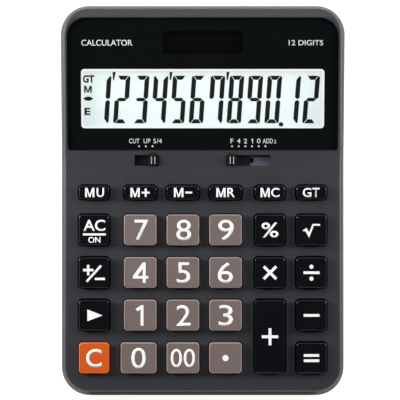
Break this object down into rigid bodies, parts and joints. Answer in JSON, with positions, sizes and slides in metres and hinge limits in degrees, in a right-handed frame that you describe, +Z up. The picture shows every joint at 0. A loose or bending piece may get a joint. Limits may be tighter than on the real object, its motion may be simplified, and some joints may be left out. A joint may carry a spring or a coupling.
{
  "type": "desk calculator",
  "caption": "Wedge-shaped desk calculator with a glossy tilted display panel, push keys that travel and slide switches for rounding and decimals.",
  "frame": {"origin": "middle of the footprint, on the desk under the rubber feet", "axes": "+X to the right, +Y to the rear (display end), +Z up from the desk"},
  "size_m": [0.129, 0.1768, 0.0332],
  "materials": {
    "case_charcoal": "fine-grained charcoal moulding",
    "rim_taupe": "satin taupe moulding",
    "lens_clear": "polished clear acrylic",
    "mask_black": "gloss black print behind the lens",
    "lcd_pane": "LCD glass with polariser",
    "reflector_white": "white reflector film",
    "holder_white": "plain white moulding",
    "connector_rubber": "striped elastomer",
    "solar_dark": "amorphous solar cell",
    "key_taupe": "satin taupe keycap",
    "key_black": "gloss black keycap",
    "key_orange": "satin orange keycap",
    "knob_black": "matt black knob",
    "guide_grey": "blue-grey moulding",
    "spring_bronze": "bare spring bronze",
    "silicone_grey": "soft grey silicone",
    "board_green": "solder resist",
    "epoxy_black": "black epoxy",
    "component_tan": "ceramic",
    "ribbon_tan": "polyimide film",
    "screw_steel": "zinc-plated steel",
    "cell_steel": "polished steel can",
    "contact_nickel": "nickel-plated spring strip",
    "lead_red": "soft lead sleeve",
    "foot_rubber": "black rubber"
  },
  "bodies": {
    "root": {"top_case": "case_charcoal", "bottom_case": "rim_taupe", "display_lens": "lens_clear", "display_film": "mask_black", "lcd_glass": "lcd_pane", "lcd_reflector": "reflector_white", "lcd_holder": "holder_white", "lcd_connector": "connector_rubber", "solar_cell": "solar_dark", "solar_leads": "lead_red", "display_board": "board_green", "display_screws": "screw_steel", "display_ribbon": "ribbon_tan", "keypad_mat": "silicone_grey", "main_board": "board_green", "board_chip": "epoxy_black", "board_components": "component_tan", "board_screws": "screw_steel", "switch_guide": "guide_grey", "button_cell": "cell_steel", "battery_contact_plus": "contact_nickel", "battery_contact_minus": "contact_nickel", "battery_leads": "lead_red", "case_screws": "screw_steel", "rubber_feet": "foot_rubber"},
    "key_markup": {"key_markup": "key_black"},
    "key_memory_plus": {"key_memory_plus": "key_black"},
    "key_memory_minus": {"key_memory_minus": "key_black"},
    "key_memory_recall": {"key_memory_recall": "key_black"},
    "key_memory_clear": {"key_memory_clear": "key_black"},
    "key_grand_total": {"key_grand_total": "key_black"},
    "key_all_clear": {"key_all_clear": "key_black"},
    "key_7": {"key_7": "key_taupe"},
    "key_8": {"key_8": "key_taupe"},
    "key_9": {"key_9": "key_taupe"},
    "key_percent": {"key_percent": "key_black"},
    "key_root": {"key_root": "key_black"},
    "key_sign": {"key_sign": "key_black"},
    "key_4": {"key_4": "key_taupe"},
    "key_5": {"key_5": "key_taupe"},
    "key_6": {"key_6": "key_taupe"},
    "key_multiply": {"key_multiply": "key_black"},
    "key_divide": {"key_divide": "key_black"},
    "key_backspace": {"key_backspace": "key_black"},
    "key_1": {"key_1": "key_taupe"},
    "key_2": {"key_2": "key_taupe"},
    "key_3": {"key_3": "key_taupe"},
    "key_plus": {"key_plus": "key_black"},
    "key_minus": {"key_minus": "key_black"},
    "key_clear": {"key_clear": "key_orange"},
    "key_0": {"key_0": "key_taupe"},
    "key_00": {"key_00": "key_taupe"},
    "key_point": {"key_point": "key_taupe"},
    "key_equals": {"key_equals": "key_black"},
    "rounding_switch": {"rounding_knob": "knob_black", "rounding_wiper": "spring_bronze"},
    "decimal_switch": {"decimal_knob": "knob_black", "decimal_wiper": "spring_bronze"}
  },
  "joints": [
    {"name": "press_markup", "type": "slide", "parent": "root", "child": "key_markup", "axis": [0, 0.0767, -0.9971], "range_m": [0, 0.0015], "stiffness_N_per_m": 350, "deforming": ["keypad_mat"]},
    {"name": "press_memory_plus", "type": "slide", "parent": "root", "child": "key_memory_plus", "axis": [0, 0.0767, -0.9971], "range_m": [0, 0.0015], "stiffness_N_per_m": 350},
    {"name": "press_memory_minus", "type": "slide", "parent": "root", "child": "key_memory_minus", "axis": [0, 0.0767, -0.9971], "range_m": [0, 0.0015], "stiffness_N_per_m": 350},
    {"name": "press_memory_recall", "type": "slide", "parent": "root", "child": "key_memory_recall", "axis": [0, 0.0767, -0.9971], "range_m": [0, 0.0015], "stiffness_N_per_m": 350},
    {"name": "press_memory_clear", "type": "slide", "parent": "root", "child": "key_memory_clear", "axis": [0, 0.0767, -0.9971], "range_m": [0, 0.0015], "stiffness_N_per_m": 350},
    {"name": "press_grand_total", "type": "slide", "parent": "root", "child": "key_grand_total", "axis": [0, 0.0767, -0.9971], "range_m": [0, 0.0015], "stiffness_N_per_m": 350},
    {"name": "press_all_clear", "type": "slide", "parent": "root", "child": "key_all_clear", "axis": [0, 0.0767, -0.9971], "range_m": [0, 0.0015], "stiffness_N_per_m": 350},
    {"name": "press_7", "type": "slide", "parent": "root", "child": "key_7", "axis": [0, 0.0767, -0.9971], "range_m": [0, 0.0015], "stiffness_N_per_m": 350},
    {"name": "press_8", "type": "slide", "parent": "root", "child": "key_8", "axis": [0, 0.0767, -0.9971], "range_m": [0, 0.0015], "stiffness_N_per_m": 350},
    {"name": "press_9", "type": "slide", "parent": "root", "child": "key_9", "axis": [0, 0.0767, -0.9971], "range_m": [0, 0.0015], "stiffness_N_per_m": 350},
    {"name": "press_percent", "type": "slide", "parent": "root", "child": "key_percent", "axis": [0, 0.0767, -0.9971], "range_m": [0, 0.0015], "stiffness_N_per_m": 350},
    {"name": "press_root", "type": "slide", "parent": "root", "child": "key_root", "axis": [0, 0.0767, -0.9971], "range_m": [0, 0.0015], "stiffness_N_per_m": 350},
    {"name": "press_sign", "type": "slide", "parent": "root", "child": "key_sign", "axis": [0, 0.0767, -0.9971], "range_m": [0, 0.0015], "stiffness_N_per_m": 350},
    {"name": "press_4", "type": "slide", "parent": "root", "child": "key_4", "axis": [0, 0.0767, -0.9971], "range_m": [0, 0.0015], "stiffness_N_per_m": 350},
    {"name": "press_5", "type": "slide", "parent": "root", "child": "key_5", "axis": [0, 0.0767, -0.9971], "range_m": [0, 0.0015], "stiffness_N_per_m": 350},
    {"name": "press_6", "type": "slide", "parent": "root", "child": "key_6", "axis": [0, 0.0767, -0.9971], "range_m": [0, 0.0015], "stiffness_N_per_m": 350},
    {"name": "press_multiply", "type": "slide", "parent": "root", "child": "key_multiply", "axis": [0, 0.0767, -0.9971], "range_m": [0, 0.0015], "stiffness_N_per_m": 350},
    {"name": "press_divide", "type": "slide", "parent": "root", "child": "key_divide", "axis": [0, 0.0767, -0.9971], "range_m": [0, 0.0015], "stiffness_N_per_m": 350},
    {"name": "press_backspace", "type": "slide", "parent": "root", "child": "key_backspace", "axis": [0, 0.0767, -0.9971], "range_m": [0, 0.0015], "stiffness_N_per_m": 350},
    {"name": "press_1", "type": "slide", "parent": "root", "child": "key_1", "axis": [0, 0.0767, -0.9971], "range_m": [0, 0.0015], "stiffness_N_per_m": 350},
    {"name": "press_2", "type": "slide", "parent": "root", "child": "key_2", "axis": [0, 0.0767, -0.9971], "range_m": [0, 0.0015], "stiffness_N_per_m": 350},
    {"name": "press_3", "type": "slide", "parent": "root", "child": "key_3", "axis": [0, 0.0767, -0.9971], "range_m": [0, 0.0015], "stiffness_N_per_m": 350},
    {"name": "press_plus", "type": "slide", "parent": "root", "child": "key_plus", "axis": [0, 0.0767, -0.9971], "range_m": [0, 0.0015], "stiffness_N_per_m": 350},
    {"name": "press_minus", "type": "slide", "parent": "root", "child": "key_minus", "axis": [0, 0.0767, -0.9971], "range_m": [0, 0.0015], "stiffness_N_per_m": 350},
    {"name": "press_clear", "type": "slide", "parent": "root", "child": "key_clear", "axis": [0, 0.0767, -0.9971], "range_m": [0, 0.0015], "stiffness_N_per_m": 350},
    {"name": "press_0", "type": "slide", "parent": "root", "child": "key_0", "axis": [0, 0.0767, -0.9971], "range_m": [0, 0.0015], "stiffness_N_per_m": 350},
    {"name": "press_00", "type": "slide", "parent": "root", "child": "key_00", "axis": [0, 0.0767, -0.9971], "range_m": [0, 0.0015], "stiffness_N_per_m": 350},
    {"name": "press_point", "type": "slide", "parent": "root", "child": "key_point", "axis": [0, 0.0767, -0.9971], "range_m": [0, 0.0015], "stiffness_N_per_m": 350},
    {"name": "press_equals", "type": "slide", "parent": "root", "child": "key_equals", "axis": [0, 0.0767, -0.9971], "range_m": [0, 0.0015], "stiffness_N_per_m": 350},
    {"name": "rounding_slide", "type": "slide", "parent": "root", "child": "rounding_switch", "axis": [1, 0, 0], "range_m": [-0.00608, 0]},
    {"name": "decimal_slide", "type": "slide", "parent": "root", "child": "decimal_switch", "axis": [1, 0, 0], "range_m": [0, 0.0152]}
  ]
}
